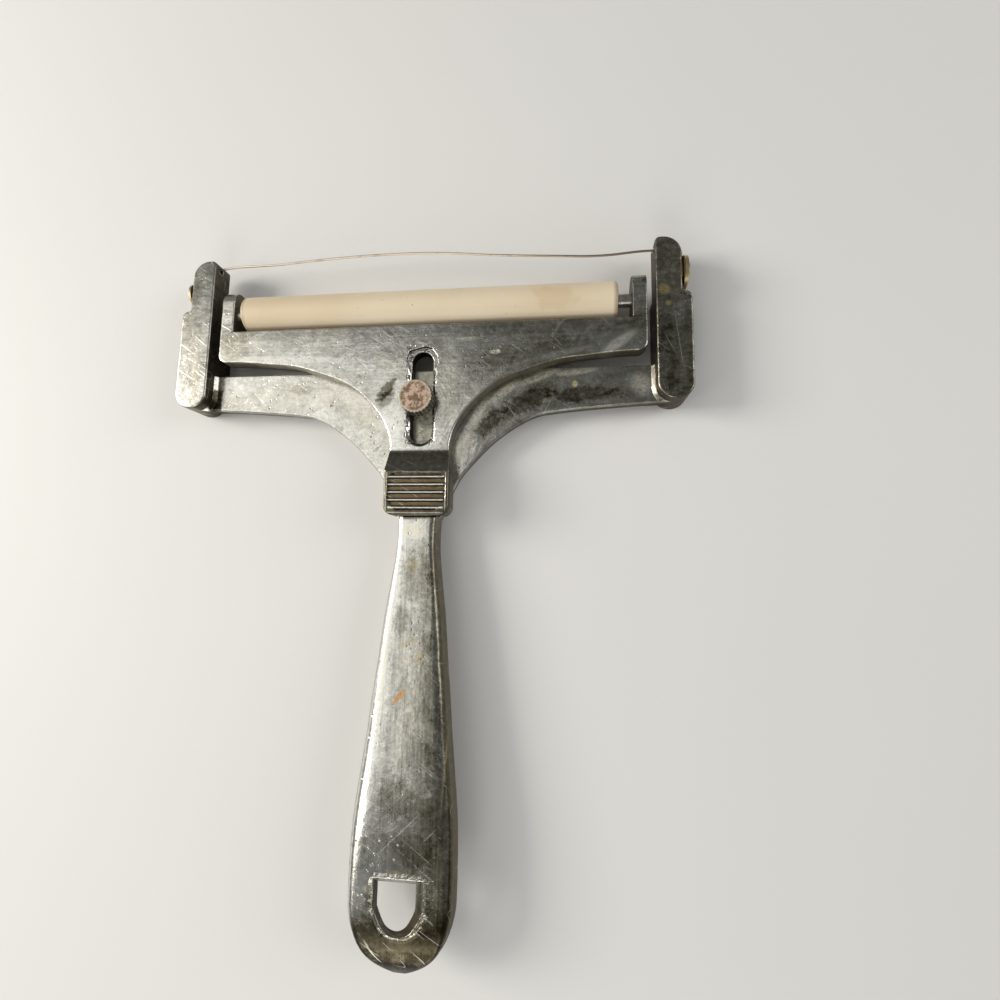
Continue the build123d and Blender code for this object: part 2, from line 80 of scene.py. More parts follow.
class Finish:
    def __init__(self, name):
        self.material = bpy.data.materials.new(name)
        self.material.use_nodes = True
        self.tree = self.material.node_tree
        self.shader = self.tree.nodes["Principled BSDF"]
        self.place = self.add("TexCoord", [], output="Object")
        self.shared = {}

    def add(self, kind, values, output=0, stops=None, **settings):
        node = self.tree.nodes.new("ShaderNode" + kind)
        for name, value in settings.items():
            setattr(node, name, value)
        if stops:
            ramp = node.color_ramp
            while len(ramp.elements) < len(stops):
                ramp.elements.new(0.5)
            for element, (position, colour) in zip(ramp.elements, stops):
                element.position = position
                element.color = (*colour, 1.0)
        slots = values.items() if isinstance(values, dict) else enumerate(values)
        for slot, value in slots:
            target = node.inputs[slot]
            if isinstance(value, Field):
                self.tree.links.new(value.socket, target)
            elif value is not None:
                target.default_value = value
        return Field(self, node.outputs[output])

    def scaled(self, x, y, z, turn=0.0, centre=(0.0, 0.0, 0.0)):
        # Object coordinates, turned about Z and stretched: the numbers are repeats a metre
        moved = self.add("VectorMath", [self.place, centre], operation="SUBTRACT")
        turned = self.add("VectorRotate", {"Vector": moved, "Angle": turn}, rotation_type="Z_AXIS")
        return self.add("VectorMath", [turned, (x, y, z)], operation="MULTIPLY")

    def noise(self, repeats, detail=3.0, rough=0.55, place=None, bend=0.0):
        key = (repeats, detail, rough, bend)
        if place is None and key in self.shared:
            return self.shared[key]
        values = {"Vector": place or self.place, "Scale": repeats, "Detail": detail}
        made = self.add("TexNoise", {**values, "Roughness": rough, "Distortion": bend})
        if place is None:
            self.shared[key] = made
        return made

    def cells(self, repeats, place=None):
        return self.add("TexVoronoi", {"Vector": place or self.place, "Scale": repeats})

    def axes(self, of=None):
        # X, Y and Z of the place on the object, or of a Geometry output such as the normal
        if of in self.shared:
            return self.shared[of]
        source = self.add("NewGeometry", [], output=of) if of else self.place
        node = self.add("SeparateXYZ", [source])
        outs = node.socket.node.outputs
        self.shared[of] = [Field(self, outs[i]) for i in range(3)]
        return self.shared[of]

    def ramp(self, share, stops):
        return self.add("ValToRGB", [share], output="Color", stops=stops)

    def mix(self, share, first, second, blend="MIX"):
        def colour(value):
            return value if isinstance(value, Field) else (*value, 1.0)
        node = self.tree.nodes.new("ShaderNodeMix")
        node.data_type = "RGBA"
        node.blend_type = blend
        for slot, value in ((0, share), (6, colour(first)), (7, colour(second))):
            if isinstance(value, Field):
                self.tree.links.new(value.socket, node.inputs[slot])
            else:
                node.inputs[slot].default_value = value
        return Field(self, node.outputs[2])

    def patch(self, x, y, long, wide, turn, wobble):
        # A blotch round one place seen from above, sizes in metres; the wobble frays its border
        px, py = self.axes()[:2]

        def reachAlong(dx, dy):
            return px.timesPlus(dx, py.timesPlus(dy, -x * dx - y * dy))
        along = reachAlong(cos(turn) / long, sin(turn) / long)
        across = reachAlong(-sin(turn) / wide, cos(turn) / wide)
        reach = along.timesPlus(along, across * across) ** 0.5
        return (reach + wobble).step(1.15, 0.6)

    def streak(self, x0, y0, x1, y1, width, wobble):
        # One scratch from place to place, seen from above
        half = hypot(x1 - x0, y1 - y0) / 2.0
        turn = atan2(y1 - y0, x1 - x0)
        return self.patch((x0 + x1) / 2.0, (y0 + y1) / 2.0, half, width, turn, wobble)

    def bump(self, height, distance, strength=1.0, onto=None):
        return self.add(
            "Bump", {"Strength": strength, "Distance": distance, "Height": height, "Normal": onto}
        )

    def edgeWearAndGlint(self, radius):
        # Bright where an edge stands out, from how far the rounded normal leans: wear, and a
        # painted highlight along the edge
        soft = self.add("Bevel", {"Radius": radius}, samples=6)
        hard = self.add("NewGeometry", [], output="Normal")
        return 1.0 - self.add("VectorMath", [soft, hard], output="Value", operation="DOT_PRODUCT")

    def occlusion(self, reach):
        # 1 deep in a corner, 0 in the open; used to paint grime and shade into corners
        return 1.0 - self.add("AmbientOcclusion", {"Distance": reach}, output="AO", samples=8)

    def paint(self, colour, rough=None, metal=None, normal=None):
        inputs = {"Base Color": colour, "Roughness": rough, "Metallic": metal, "Normal": normal}
        for slot, value in inputs.items():
            if isinstance(value, Field):
                self.tree.links.new(value.socket, self.shader.inputs[slot])
            elif value is not None:
                self.shader.inputs[slot].default_value = value
        return self.material


# Worn nickel plating on the castings: tone 0 is bare dark metal, 1 is bright plating
plating = {
    "tones": [
        (0.0, (0.028, 0.023, 0.012)),
        (0.22, (0.105, 0.093, 0.062)),
        (0.45, (0.29, 0.275, 0.225)),
        (0.68, (0.53, 0.52, 0.47)),
        (0.86, (0.74, 0.73, 0.68)),
        (1.0, (0.93, 0.92, 0.87)),
    ],
    "cream": (0.80, 0.75, 0.60),
    # painted shade: the dark colour mixed into steep walls
    "shadedWall": (0.17, 0.14, 0.095),
    # painted shade: near black for the most shaded walls
    "deepShade": (0.030, 0.022, 0.013),
    "grimeAndShade": (0.05, 0.036, 0.018),
    "edge": (0.90, 0.88, 0.81),
    "smooth": 0.16,
    "rough": 0.34,
    "edgeRound": 0.00045,
    "grimeShadeReach": 0.0018,
    # size of each noise: repeats a metre, detail, roughness and bend
    "broad": (45.0, 4.0, 0.6, 0.6),
    "cloud": (210.0, 5.0, 0.72, 0.8),
    "speck": (900.0, 4.0, 0.78, 0.0),
    "fine": (2600.0, 2.0, 0.7, 0.0),
    # how far each noise moves the tone
    "broadTone": 0.55,
    "cloudTone": 0.75,
    "speckTone": 0.62,
    "fineTone": 0.2,
    "pitTone": 0.3,
    # height in metres and strength of each layer of bumps, from the lowest up
    "bumps": {
        "wave": (0.0006, 0.5),
        "peel": (0.00010, 0.6),
        "lines": (0.00002, 0.6),
        "grain": (0.00003, 0.7),
        "pits": (0.00008, 0.7),
        "scratches": (0.00002, 0.5),
    },
}

stainTints = {
    "olive": (0.20, 0.155, 0.03),
    "brown": (0.235, 0.165, 0.075),
    "yellow": (0.60, 0.48, 0.20),
    "orange": (0.60, 0.27, 0.03),
    "cream": (0.86, 0.81, 0.64),
    "white": (0.92, 0.91, 0.86),
    "black": (0.03, 0.024, 0.016),
}


def scratchLayer(finish, turn, along, across, line, share, offset):
    # Thin long lines: the level line of a noise pulled out along one direction
    place = finish.scaled(along, across, across, turn, (offset, offset * 0.7, 0.0))
    field = finish.noise(1.0, 0.0, 0.5, place)
    thin = abs(field - 0.5).step(line, line * 0.2)
    where = finish.noise(110.0, 2.0, 0.6, finish.scaled(1.0, 1.0, 1.0, turn, (offset, 0.0, 0.0)))
    return thin * where.step(1.02 - share, 1.1 - share)


def platedCasting(name, offset, look):
    f = Finish(name)
    x, y, z = f.axes()
    here = f.scaled(1.0, 1.0, 1.0, 0.0, (offset, 0.0, 0.0))

    def plated(layer):
        repeats, detail, rough, bend = plating[layer]
        return f.noise(repeats, detail, rough, here, bend)
    broad, cloud, speck, fine = [plated(layer) for layer in ("broad", "cloud", "speck", "fine")]
    pits = f.cells(800.0, here).step(0.24, 0.1) * f.noise(140.0, 3.0, 0.6, here).step(0.47, 0.62)
    brush = look["brush"](f, x, y)
    fray = ((speck * 0.45 + cloud * 0.25 + brush * 0.3) - 0.5) * 2.25
    crumble = (speck - 0.5) * 2.4
    scratches = 0.0
    for *lines, shift in look["scratchLayers"]:
        scratches = scratchLayer(f, *lines, shift + offset).most(scratches)
    for mark in look["marks"]:
        scratches = f.streak(*mark, (speck - 0.5) * 1.6).most(scratches)

    faceUp = f.axes("Normal")[2]
    shadedWall = abs(faceUp).step(0.8, 0.35)
    ragged = f.noise(600.0, 4.0, 0.7, here)
    edge = (f.edgeWearAndGlint(plating["edgeRound"]) * 8.0 * ragged.step(0.36, 0.62)).step(0.12, 0.8)
    crumbs = f.noise(900.0, 4.0, 0.7, here).step(0.22, 0.7)
    # Grime and painted shade in the corners, from how enclosed each place is
    grimeAndShade = (f.occlusion(plating["grimeShadeReach"]) * 1.7 * crumbs).step(0.35, 1.0)

    tone = look["tone"](f, x, y, z) + (broad - 0.5) * plating["broadTone"]
    tone = tone + (cloud - 0.5) * plating["cloudTone"] + (speck - 0.5) * plating["speckTone"]
    tone = tone + (brush - 0.5) * look["brushDepth"]
    tone = tone + (fine - 0.5) * plating["fineTone"] - pits * plating["pitTone"]
    for px, py, long, wide, turn, change in look["patches"]:
        tone = tone + f.patch(px, py, long, wide, radians(turn), fray) * change
    for zone in look["zones"]:
        share, level = zone(f, x, y, z)
        tone = tone + share * (level + (speck - 0.5) * 0.5 - tone)
    colour = f.ramp(tone, plating["tones"])
    colour = f.mix(broad.step(0.44, 0.66) * 0.45, colour, plating["cream"], "MULTIPLY")
    if look["tarnish"]:
        tarnish = look["tarnish"](f, x, y, z)
        colour = f.mix(tarnish * (0.55 + cloud * 0.4), colour, stainTints["brown"])
    # What lies on the metal is no metal: salts, rust and grease, and one cream stain that is
    # painted light
    flake = 0.45 + speck.step(0.42, 0.55) * 0.55
    film = 0.0
    for px, py, long, wide, turn, tint, share in look["stains"]:
        mask = f.patch(px, py, long, wide, radians(turn), crumble) * share * flake
        colour = f.mix(mask, colour, stainTints[tint])
        film = mask.most(film)
    # Painted shade: steep walls darkened, in patches
    shade = shadedWall * (0.72 + (cloud - 0.5) * 1.4).least(0.95).most(0.0)
    colour = f.mix(shade, colour, plating["shadedWall"])
    # Painted shade: near black where each look's mask says
    colour = f.mix(shadedWall * look["deepShadeMask"](f, x, y, z), colour, plating["deepShade"])
    colour = f.mix(scratches * 0.45, colour, plating["edge"])
    # Worn edges, brightened as a painted highlight too
    colour = f.mix(edge * look["edgeShare"], colour, plating["edge"])
    # Grime and painted shade darken the corners
    colour = f.mix(grimeAndShade * 0.85, colour, plating["grimeAndShade"])

    span = plating["rough"] - plating["smooth"]
    rough = plating["smooth"] + (1.0 - tone).most(0.0).least(1.0) * (span * 0.6)
    rough = rough + cloud * (span * 0.5)
    rough = rough + (speck.step(0.5, 0.8) * 0.1 + grimeAndShade * 0.35 + shadedWall * 0.25)
    rounded = f.add("Bevel", {"Radius": plating["edgeRound"] * 0.8}, samples=6)
    normal = f.bump(look["relief"](f, x, y, z), 1.0, 1.0, rounded)
    heights = {
        "wave": broad,
        "peel": cloud,
        "lines": brush,
        "grain": speck,
        "pits": 1.0 - pits,
        "scratches": 1.0 - scratches,
    }
    for layer, height in heights.items():
        normal = f.bump(height, *plating["bumps"][layer], normal)
    return f.paint(colour, rough, (1.0 - grimeAndShade * 0.6) * (1.0 - film * 0.9), normal)


def between(value, first, last, soft=0.0003):
    # 1 between two places, soft at both ends
    return value.step(first - soft, first + soft) * value.step(last + soft, last - soft)


# Frame: painted shade towards the right and on the handle's nose, a painted highlight down the
# handle's left edge, darker towards the handle's end, brushed along the handle
hole = {"half": 0.0058, "top": -0.0645, "low": -0.0706, "deep": 0.0060}


def handleSide(x, y):
    # -1 at the handle's left edge, 1 at its right
    return x / (0.0053 + (0.015 - y) * 0.095).most(0.004)


def frameTone(f, x, y, z):
    side = handleSide(x, y)
    handle = y.step(0.017, 0.011)
    head = 1.0 - handle
    # Painted shade: the head darker towards the right
    right = x.step(-0.004, 0.030)
    along = 0.84 - y.step(0.0, -0.030) * 0.04 - y.step(-0.038, -0.062) * 0.14
    along = along - y.step(-0.064, -0.076) * 0.14
    # Painted highlight down the handle's left edge, painted shade towards its right
    across = side.step(-0.35, -0.8) * 0.34 - side.step(-0.1, 0.8) * 0.30
    # Painted shade on the handle's nose
    noseShade = y.step(-0.069, -0.077) * 0.50
    arms = abs(x).step(0.0565, 0.0585) * head
    neck = abs(x).step(0.0100, 0.0060) * head * 0.06
    # The left arm's inner foot lies in the plate's shadow
    foot = between(x, -0.0590, -0.0558) * y.step(0.0500, 0.0490) * z.step(0.0092, 0.0086) * 0.7
    headTone = 0.87 - right * 0.28 + neck - arms * 0.20 + arms * right * 0.02 - foot
    return handle * (along + across - noseShade) + head * headTone


def frameBrush(f, x, y):
    handle = y.step(0.017, 0.011)
    along = f.noise(1.0, 4.0, 0.7, f.scaled(1500.0, 55.0, 300.0))
    head = f.noise(1.0, 4.0, 0.7, f.scaled(220.0, 900.0, 300.0))
    return 0.5 + handle * (along - 0.5) + (1.0 - handle) * (head - 0.5) * 0.6


def rimDistance(x, y):
    # Metres from the outline of the hanging hole, seen from above
    straight = abs(abs(x) - hole["half"]) + y.step(hole["top"] - 0.0001, hole["top"] + 0.0002)
    drop = y - hole["low"]
    lower = (x * x) / hole["half"] ** 2 + (drop * drop) / hole["deep"] ** 2
    arc = abs(lower ** 0.5 - 1.0) * hole["half"]
    below = y.step(hole["low"] + 0.0001, hole["low"] - 0.0001)
    top = abs(y - hole["top"]) + abs(x).step(hole["half"], hole["half"] + 0.0006)
    return (straight * (1.0 - below) + arc * below).least(top)


def holeRim(f, x, y, z):
    # The rim is a lumpy bead of plating, bright where it has rubbed
    lumps = f.noise(750.0, 3.0, 0.6)
    bead = (rimDistance(x, y) + (lumps - 0.5) * 0.0016).step(0.00065, 0.00015)
    return bead * z.step(0.0100, 0.0108) * (0.25 + lumps.step(0.42, 0.62) * 0.6), 0.95


def holeShade(f, x, y, z):
    # Painted shade below the hole, and dark mottles in a ring round it
    away = rimDistance(x, y)
    below = y.step(-0.0735, -0.0765) * y.step(-0.0800, -0.0785)
    blotch = f.noise(260.0, 4.0, 0.7).step(0.46, 0.60)
    ring = away.step(0.0030, 0.0010) * y.step(-0.0655, -0.0670) * blotch
    return (below * 0.85).most(ring * 0.7) * z.step(0.0090, 0.0098), 0.16


def rightBevelTarnishAndShade(f, x, y, z):
    # The handle's right bevel keeps an olive tarnish, darkened further as painted shade
    faceUp = f.axes("Normal")[2]
    tilted = faceUp.step(0.985, 0.93) * faceUp.step(0.35, 0.5)
    place = x.step(0.0035, 0.0045) * y.step(0.0165, 0.0140)
    return tilted * place * 0.85, 0.17


def frameDeepShade(f, x, y, z):
    # Painted shade, near black: the arms' inner sides, the right of the head, the hole's bore and
    # low down
    arms = between(abs(x), 0.0560, 0.0610, 0.0006) * y.step(0.0380, 0.0400)
    low = z.step(0.0036, 0.0016) * 0.75
    right = x.step(-0.004, 0.012) * y.step(0.0240, 0.0260) * 0.8
    bore = abs(x).step(0.0068, 0.0062) * between(y, -0.0776, -0.0636) * 0.8
    ragged = (0.78 + (f.noise(500.0, 4.0, 0.7) - 0.5) * 0.8).least(0.97)
    return arms.most(low).most(right).most(bore) * ragged


def frameRelief(f, x, y, z):
    # The handle's face falls away at its long edges; the hole's rim stands up in lumps
    side = handleSide(x, y)
    handle = y.step(0.015, 0.005)
    edge = (abs(side) - 0.62).most(0.0) / 0.38
    crown = edge * edge * handle * -0.0010
    away = rimDistance(x, y) + (f.noise(750.0, 3.0, 0.6) - 0.5) * 0.0012
    return crown + away.step(0.0010, 0.0) * 0.00022


frameLook = {
    "tone": frameTone,
    "brush": frameBrush,
    "relief": frameRelief,
    "tarnish": None,
    "deepShadeMask": frameDeepShade,
    "brushDepth": 0.62,
    "edgeShare": 0.6,
    "scratchLayers": [
        (0.55, 9.0, 240.0, 0.009, 0.5, 0.31),
        (0.75, 10.0, 300.0, 0.009, 0.46, 0.77),
        (0.62, 8.0, 260.0, 0.008, 0.5, 1.31),
    ],
    "marks": [
        (0.0040, -0.0512, -0.0057, -0.0605, 0.00013),
        (0.0078, -0.0542, 0.0050, -0.0568, 0.00012),
        (0.0215, 0.0440, 0.0240, 0.0405, 0.00010),
        (0.0335, 0.0466, 0.0300, 0.0405, 0.00008),
        (0.0620, 0.0660, 0.0640, 0.0500, 0.00009),
        (0.0595, 0.0600, 0.0625, 0.0540, 0.00008),
    ],
    # place, half length, half width, turn in degrees and change of tone
    "patches": [
        (0.0172, 0.0395, 0.0060, 0.0022, 48.0, -0.30),
        (0.0265, 0.0448, 0.0080, 0.0026, 27.0, -0.34),
        (0.0400, 0.0464, 0.0100, 0.0022, 4.0, -0.26),
        (0.0500, 0.0466, 0.0050, 0.0016, 0.0, -0.20),
        (0.0204, 0.0370, 0.0050, 0.0009, 48.0, 0.16),
        (0.0330, 0.0420, 0.0090, 0.0009, 10.0, 0.16),
        (0.0125, 0.0330, 0.0050, 0.0026, 66.0, 0.10),
        (0.0550, 0.0480, 0.0030, 0.0028, 0.0, 0.14),
        (-0.0332, 0.0491, 0.0040, 0.0016, 0.0, -0.16),
        (-0.0200, 0.0420, 0.0060, 0.0012, -36.0, -0.08),
        (-0.0640, 0.0480, 0.0020, 0.0050, 0.0, 0.10),
        (-0.0632, 0.0760, 0.0018, 0.0060, 10.0, -0.12),
        (0.0610, 0.0560, 0.0026, 0.0110, 0.0, -0.08),
        (0.0630, 0.0640, 0.0018, 0.0050, 0.0, 0.10),
        (0.0000, 0.0118, 0.0050, 0.0022, 0.0, 0.14),
        (0.0008, 0.0010, 0.0045, 0.0070, 0.0, -0.20),
        (-0.0026, -0.0094, 0.0024, 0.0040, 0.0, -0.10),
        (0.0028, -0.0390, 0.0035, 0.0050, 0.0, -0.10),
        (-0.0020, -0.0480, 0.0040, 0.0050, 0.0, -0.14),
        (0.0060, -0.0300, 0.0026, 0.0140, 0.0, -0.10),
        (0.0030, -0.0590, 0.0060, 0.0034, 0.0, -0.14),
        (-0.0030, -0.0612, 0.0034, 0.0026, 0.0, 0.12),
        (-0.0092, -0.0600, 0.0016, 0.0050, 0.0, -0.16),
        (0.0010, -0.0786, 0.0060, 0.0008, 4.0, 0.16),
        (-0.0078, -0.0668, 0.0016, 0.0040, 0.0, 0.20),
        (0.0000, -0.0405, 0.0060, 0.0040, 0.0, 0.08),
    ],
    # place, half length, half width, turn in degrees, tint and strength
    "stains": [
        (0.0599, 0.0708, 0.0015, 0.0014, 0.0, "olive", 0.85),
        (0.0608, 0.0672, 0.0008, 0.0007, 0.0, "olive", 0.8),
        (0.0385, 0.0490, 0.0008, 0.0010, 0.0, "yellow", 0.75),
        (0.0106, 0.0330, 0.0044, 0.0013, 66.0, "cream", 0.70),
        (0.0145, 0.0424, 0.0042, 0.0013, 56.0, "cream", 0.66),
        (0.0208, 0.0475, 0.0052, 0.0013, 34.0, "cream", 0.60),
        (0.0290, 0.0508, 0.0062, 0.0011, 20.0, "cream", 0.50),
        (0.0385, 0.0521, 0.0060, 0.0009, 6.0, "cream", 0.38),
        (0.0545, 0.0486, 0.0030, 0.0034, 0.0, "cream", 0.32),
        (-0.0614, 0.0534, 0.0010, 0.0082, 0.0, "cream", 0.55),
        (-0.0360, 0.0475, 0.0160, 0.0040, 0.0, "cream", 0.30),
        (-0.0160, 0.0420, 0.0090, 0.0040, -42.0, "cream", 0.38),
        # painted light: the frame seen through the slot, lit cream
        (0.0004, 0.0440, 0.0036, 0.0200, 0.0, "cream", 1.0),
        (-0.0248, 0.0446, 0.0006, 0.0004, 0.0, "black", 0.9),
        (-0.0177, 0.0444, 0.0006, 0.0005, 0.0, "white", 0.9),
        (-0.0118, 0.0330, 0.0009, 0.0005, 50.0, "black", 0.5),
        (-0.0098, 0.0316, 0.0005, 0.0003, 50.0, "black", 0.6),
        (-0.0136, 0.0362, 0.0004, 0.0004, 0.0, "black", 0.7),
        (-0.0004, -0.0146, 0.0030, 0.0013, 20.0, "yellow", 0.34),
        (0.0022, -0.0177, 0.0013, 0.0016, 0.0, "yellow", 0.38),
        (-0.0013, -0.0185, 0.0018, 0.0011, 0.0, "cream", 0.36),
        (-0.0005, 0.0036, 0.0017, 0.0020, 0.0, "yellow", 0.34),
        (-0.0010, 0.0119, 0.0042, 0.0016, 0.0, "cream", 0.5),
        (-0.0060, -0.0190, 0.0009, 0.0160, -5.0, "cream", 0.40),
        (-0.0022, -0.0268, 0.0023, 0.0007, 48.0, "orange", 0.95),
        (-0.0048, -0.0572, 0.0003, 0.0003, 0.0, "white", 0.9),
        (-0.0021, -0.0561, 0.0003, 0.0003, 0.0, "white", 0.8),
        (-0.0006, -0.0578, 0.0003, 0.0003, 0.0, "white", 0.8),
        (-0.0013, -0.0608, 0.0003, 0.0003, 0.0, "white", 0.9),
        (-0.0033, -0.0482, 0.0004, 0.0005, 0.0, "black", 0.8),
        (-0.0070, -0.0672, 0.0013, 0.0011, 0.0, "cream", 0.40),
        (-0.0010, -0.0635, 0.0016, 0.0006, 0.0, "yellow", 0.30),
        (0.0093, -0.0420, 0.0003, 0.0100, -3.0, "yellow", 0.35),
        (0.0006, 0.0345, 0.0007, 0.0005, 0.0, "yellow", 0.7),
        (0.0005, 0.0420, 0.0008, 0.0006, 0.0, "yellow", 0.5),
    ],
    "zones": [rightBevelTarnishAndShade, holeShade, holeRim],
}


# Slide plate: brushed sideways, mottled and painted darker on the right as shade, dark on the
# thumb pad
plateMiddle = 0.0004
ribs = {"first": 0.01728, "pitch": 0.001875}


def plateTone(f, x, y, z):
    # Painted shade: the plate darker towards the right
    right = x.step(-0.008, 0.026)
    ears = abs(x - plateMiddle).step(0.0500, 0.0520) * y.step(0.0640, 0.0660)
    # Painted shade on the plate's far end, beside the roller
    rollerShade = y.step(0.0600, 0.0622) * (1.0 - ears) * 0.12
    neck = y.step(0.0440, 0.0370) * 0.10
    corner = x.step(0.0460, 0.0520) * 0.08
    return 0.86 - right * 0.24 - rollerShade + neck + ears * 0.05 - corner


def plateBrush(f, x, y):
    return f.noise(1.0, 4.0, 0.7, f.scaled(60.0, 1500.0, 300.0))


def padZone(f, x, y, z):
    middle = abs(x - plateMiddle)
    inside = between(y, 0.0150, 0.0318) * middle.step(0.0096, 0.0090) * z.step(0.0093, 0.0098)
    # Painted highlight on the pad's slanted front face
    slantHighlight = y.step(0.0318, 0.0264) * y.step(0.0257, 0.0264) * 0.10
    return inside * 0.96, 0.21 + slantHighlight + y.step(0.0262, 0.0268) * 0.08


def padFloor(f, x, y, z):
    # Between the ribs the plating has gone olive-brown
    inside = between(y, 0.0160, 0.0259) * abs(x - plateMiddle).step(0.0074, 0.0070)
    return inside * z.step(0.01142, 0.01120)


def padCrests(f, x, y, z):
    # Five ribs, by the distance from the nearest crest, and the bright border round them
    middle = abs(x - plateMiddle)
    phase = (y - ribs["first"]) / ribs["pitch"] + 0.5
    away = abs(phase.maths("FRACT") - 0.5) + (f.noise(800.0, 2.0) - 0.5) * 0.12
    crest = away.step(0.16, 0.07) * between(y, 0.0166, 0.0253) * middle.step(0.0070, 0.0066)
    sides = abs(middle - 0.0073).step(0.00024, 0.0001) * between(y, 0.0160, 0.0258, 0.0002)
    rear = abs(y - 0.01605).step(0.0002, 0.0001) * middle.step(0.0072, 0.0068)
    return crest.most(sides.most(rear) * 0.55) * z.step(0.01130, 0.01145), 1.0


def nearSlot(x, y):
    return abs(x - plateMiddle).step(0.0047, 0.0039) * between(y, 0.0325, 0.0588, 0.0006)


def slotWallShade(f, x, y, z):
    # Painted shade: the slot's walls are made dark
    faceUp = f.axes("Normal")[2]
    return nearSlot(x, y) * abs(faceUp).step(0.75, 0.3), 0.10


def slotRim(f, x, y, z):
    # The rim is chipped: dark close to the slot, in ragged bites
    away = f.noise(700.0, 4.0, 0.7) * 0.0022
    near = (abs(x - plateMiddle) + away).step(0.0044, 0.0039)
    return near * between(y, 0.0335, 0.0580, 0.0005) * z.step(0.0092, 0.0094) * 0.65, 0.30


def plateDeepShade(f, x, y, z):
    # Painted shade, near black, beneath the slot's rim, on the ears' inner sides, on the pad's
    # walls and low down
    ears = abs(x - plateMiddle).step(0.0535, 0.0530) * y.step(0.0640, 0.0646)
    pad = y.step(0.0318, 0.0300) * 0.55
    low = z.step(0.0066, 0.0054) * 0.6
    ragged = (0.80 + (f.noise(600.0, 4.0, 0.7) - 0.5) * 0.9).least(0.97)
    return nearSlot(x, y).most(ears * 0.75).most(pad).most(low) * ragged


def plateRelief(f, x, y, z):
    # Chips broken out of the slot's rim
    away = (abs(x - plateMiddle) - 0.0028).most(0.0)
    bite = f.noise(520.0, 3.0, 0.65).step(0.50, 0.58) * between(y, 0.0335, 0.0585, 0.0005)
    return bite * away.step(0.0013, 0.0002) * -0.00030


plateLook = {
    "tone": plateTone,
    "brush": plateBrush,
    "relief": plateRelief,
    "tarnish": padFloor,
    "deepShadeMask": plateDeepShade,
    "brushDepth": 0.45,
    "edgeShare": 0.5,
    "scratchLayers": [
        (0.55, 9.0, 240.0, 0.010, 0.52, 0.31),
        (0.75, 14.0, 420.0, 0.011, 0.46, 0.57),
        (2.3, 12.0, 380.0, 0.010, 0.46, 1.9),
        (-0.3, 9.0, 300.0, 0.009, 0.46, 2.7),
    ],
    "marks": [
        (0.0221, 0.0587, 0.0266, 0.0555, 0.00013),
        (0.0150, 0.0545, 0.0185, 0.0520, 0.00010),
        (0.0240, 0.0600, 0.0252, 0.0590, 0.00010),
        (0.0330, 0.0600, 0.0355, 0.0570, 0.00008),
        (0.0130, 0.0590, 0.0155, 0.0600, 0.00008),
        (-0.0230, 0.0600, -0.0160, 0.0570, 0.00008),
        (-0.0270, 0.0590, -0.0190, 0.0596, 0.00007),
    ],
    "patches": [
        (-0.0088, 0.0470, 0.0042, 0.0014, 54.0, -0.42),
        (-0.0084, 0.0450, 0.0030, 0.0016, 50.0, -0.30),
        (0.0200, 0.0545, 0.0050, 0.0030, 0.0, -0.16),
        (0.0330, 0.0560, 0.0110, 0.0034, 10.0, -0.12),
        (0.0490, 0.0578, 0.0056, 0.0016, 34.0, 0.30),
        (0.0330, 0.0550, 0.0110, 0.0009, 12.0, 0.18),
        (0.0180, 0.0492, 0.0060, 0.0010, 44.0, 0.14),
        (0.0140, 0.0450, 0.0060, 0.0030, 60.0, 0.12),
        (0.0095, 0.0585, 0.0050, 0.0025, 0.0, 0.12),
        (-0.0350, 0.0560, 0.0160, 0.0010, -2.0, 0.16),
        (-0.0500, 0.0600, 0.0040, 0.0040, 0.0, -0.10),
        (-0.0070, 0.0390, 0.0030, 0.0060, 0.0, 0.14),
        (0.0095, 0.0375, 0.0020, 0.0060, 0.0, 0.12),
    ],
    "stains": [
        (0.0490, 0.0578, 0.0050, 0.0012, 34.0, "cream", 0.16),
        (0.0080, 0.0500, 0.0030, 0.0090, 0.0, "cream", 0.18),
        (0.0188, 0.0563, 0.0016, 0.0006, 0.0, "cream", 0.8),
        (0.0196, 0.0566, 0.0004, 0.0004, 0.0, "white", 0.9),
        (0.0120, 0.0600, 0.0030, 0.0005, 0.0, "cream", 0.35),
        (0.0000, 0.0170, 0.0010, 0.0003, 0.0, "cream", 0.5),
    ],
    "zones": [padZone, padCrests, slotWallShade, slotRim],
}


# Yellowed ivory plastic of the roller, with painted shade at its left end and grime and painted
# shade on its end faces
ivory = {"clean": (0.80, 0.685, 0.505), "yellow": (0.66, 0.51, 0.32), "grimeAndShade": (0.24, 0.155, 0.07)}


